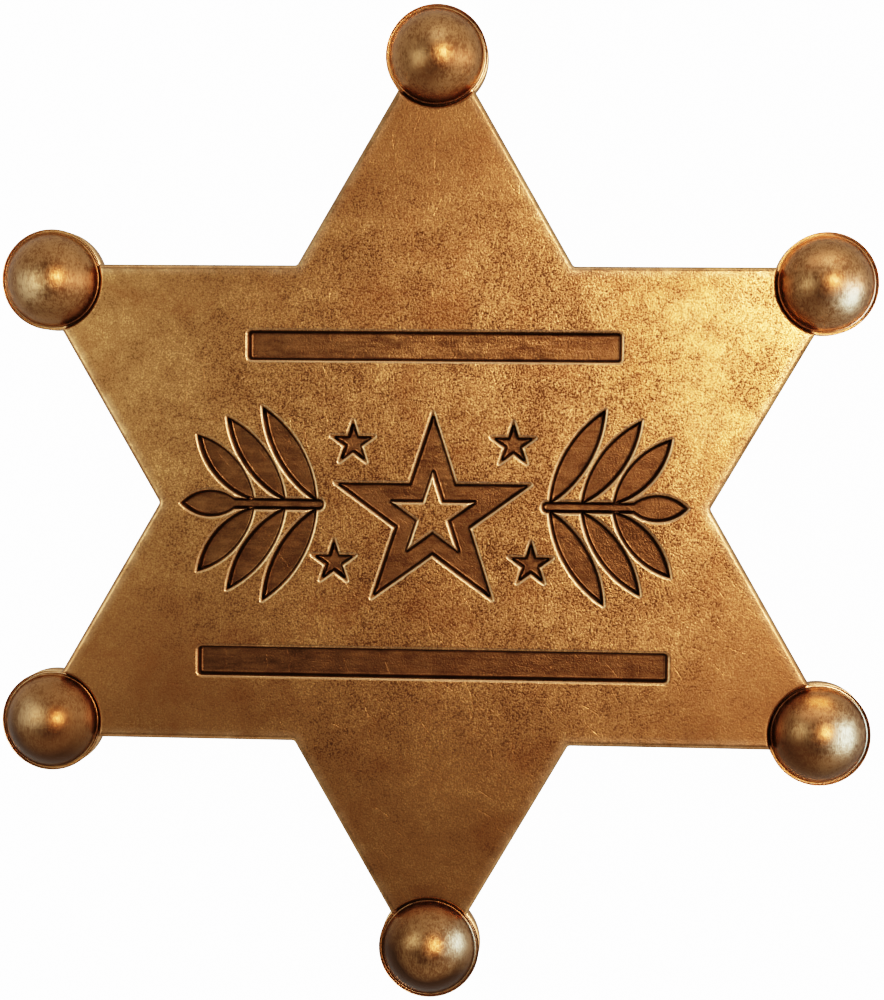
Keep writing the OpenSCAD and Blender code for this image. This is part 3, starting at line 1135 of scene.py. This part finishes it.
def floor_finish():
    """White paper, lit through from below as far as the camera sees it."""
    material, graph, shader = new_material("pale_floor")
    place = graph.millimetres()
    tone = graph.effect("tone", place=place, size=60.0, contrast=0.4)
    graph.feed(shader.inputs["Base Color"], graph.mix(tone, PAPER_SHADE, PAPER_WHITE))
    shader.inputs["Metallic"].default_value = 0.0
    shader.inputs["Roughness"].default_value = 0.8
    shader.inputs["Emission Color"].default_value = (1.0, 1.0, 1.0, 1)
    ray = graph.node("LightPath").outputs
    seen, mirrored_ray = ray["Is Camera Ray"], ray["Is Glossy Ray"]
    glow = graph.total(0.0, (mirrored_ray, MIRRORED_GLOW), (seen, FLOOR_GLOW))
    graph.feed(shader.inputs["Emission Strength"], glow)
    return material


def softbox(name, place, width, height, radiance, colour, receivers=()):
    """An area light that faces the badge, in millimetres; with receivers, it lights only those."""
    data = bpy.data.lights.new(name, "AREA")
    data.shape = "RECTANGLE"
    data.size, data.size_y = width * MM, height * MM
    data.energy = math.pi * data.size * data.size_y * radiance
    data.color = colour
    light = placed(name, data)
    light.location = Vector(place) * MM
    light.rotation_euler = light.location.to_track_quat("Z", "Y").to_euler()
    light.visible_camera = False
    if receivers:
        group = bpy.data.collections.new(name + "_receivers")
        for piece in receivers:
            group.objects.link(piece)
        light.light_linking.receiver_collection = group
    return light


def studio(plate, balls):
    """Pale floor, and soft lights round the badge."""
    def tips(*sides):
        return [balls["ball_tip_" + side] for side in sides]

    bpy.ops.mesh.primitive_grid_add(x_subdivisions=2, y_subdivisions=2, size=8)
    floor = bpy.context.object
    floor.name = "studio_floor"
    floor.data.materials.append(floor_finish())
    softbox("lamp", (285, 130, 950), 120, 120, 118, (1.0, 0.82, 0.78), [plate])
    softbox("ball_lamp", (285, 130, 950), 120, 120, 105, (1.0, 0.72, 0.5), list(balls.values()))
    softbox("left_panel", (-95, 10, 125), 75, 80, 2.3, (0.8, 0.95, 1.0))
    softbox("left_card", (-80, 0, 45), 60, 70, 1.5, (0.5, 0.75, 1.0), tips("upper_left", "lower_left"))
    right_tips = tips("upper_right", "lower_right", "bottom")
    softbox("window", (95, -18, 38), 50, 40, 12, (0.2, 0.5, 1.0), right_tips)
    softbox("window_glow", (95, -20, 45), 90, 80, 3.6, (0.35, 0.62, 1.0), right_tips)
    upper_tips = tips("top", "upper_right")
    softbox("upper_panel", (60, 640, 600), 400, 400, 1.8, (0.8, 0.9, 1.0), upper_tips)
    softbox("upper_card", (30, 75, 18), 60, 22, 7, (1.0, 0.6, 0.3), tips("lower_right"))
    right_side = [plate, *tips("top", "upper_left", "upper_right")]
    softbox("right_strip", (600, 0, 500), 300, 1200, 1.9, (1.0, 0.76, 0.74), right_side)
    top_side = [plate, *tips("lower_right", "upper_right")]
    softbox("top_strip", (0, 700, 450), 1200, 300, 1.2, (1.0, 0.77, 0.74), top_side)
    softbox("left_strip", (-700, 0, 450), 300, 1200, 1.6, (1.0, 0.82, 0.78), [plate])
    softbox("low_strip", (0, -700, 450), 1200, 300, 0.65, (1.0, 0.80, 0.78), [plate])


def room_light():
    """The light of the room, weakest from straight above and stronger from the right."""
    world = bpy.data.worlds.new("room")
    world.use_nodes = True
    graph = Graph(world.node_tree)
    side = graph.node("TexCoord").outputs["Generated"]
    away = graph.node("SeparateXYZ", {0: side}).outputs
    height = graph.spread(away["Z"], 0.93, 0.55, ROOM_ABOVE, ROOM_AROUND)
    lean = graph.total(1.0, (away["X"], 0.4), (away["Y"], 0.15))
    back = world.node_tree.nodes["Background"]
    graph.feed(back.inputs["Strength"], graph.product(height, lean))
    back.inputs["Color"].default_value = ROOM_COLOUR
    bpy.context.scene.world = world


def photo_camera():
    """The camera at the photograph's own place and angle, nearly straight above."""
    data = bpy.data.cameras.new("photo_camera")
    data.sensor_fit = "AUTO"
    data.sensor_width = 36
    data.lens = FOCAL_PIXELS / IMAGE_HEIGHT * data.sensor_width
    data.clip_start = 0.01
    camera = placed("photo_camera", data)
    place = Matrix.Translation(Vector(CAMERA_PLACE) * MM)
    for axis, angle in zip("ZYX", CAMERA_TURN):
        place = place @ Matrix.Rotation(math.radians(angle), 4, axis)
    camera.matrix_world = place
    bpy.context.scene.camera = camera


def camera_response():
    """A soft camera response: deep shadows, and highlights that roll off to white."""
    settings = bpy.context.scene.view_settings
    settings.view_transform = "Standard"
    settings.use_curve_mapping = True
    mapping = settings.curve_mapping
    mapping.white_level = [WHITE_LEVEL] * 3
    curve = mapping.curves[3]
    for k in range(1, CURVE_POINTS):
        share = (k / CURVE_POINTS) ** 2
        power = (RESPONSE_GAIN * share * WHITE_LEVEL) ** RESPONSE_SLOPE
        curve.points.new(share, RESPONSE_TOP * power / (1 + power))
    mapping.update()


def finish_piece(piece, nodes, material):
    """Gives a piece its material and its place in the frame."""
    piece.data.materials.clear()
    piece.data.materials.append(material)
    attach(piece, "root")
    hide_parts(*nodes)


plate = star_plate()
finish_piece(plate, ["star_plate"], plate_finish())
ball_brass = ball_finish()
balls = {node: ball_tip(node, seed) for seed, node in enumerate(BALL_NODES)}
for node, ball in balls.items():
    finish_piece(ball, [node], ball_brass)
finish_piece(pin_clasp(), ["pin_clasp"], clasp_finish())
studio(plate, balls)
room_light()
photo_camera()
camera_response()
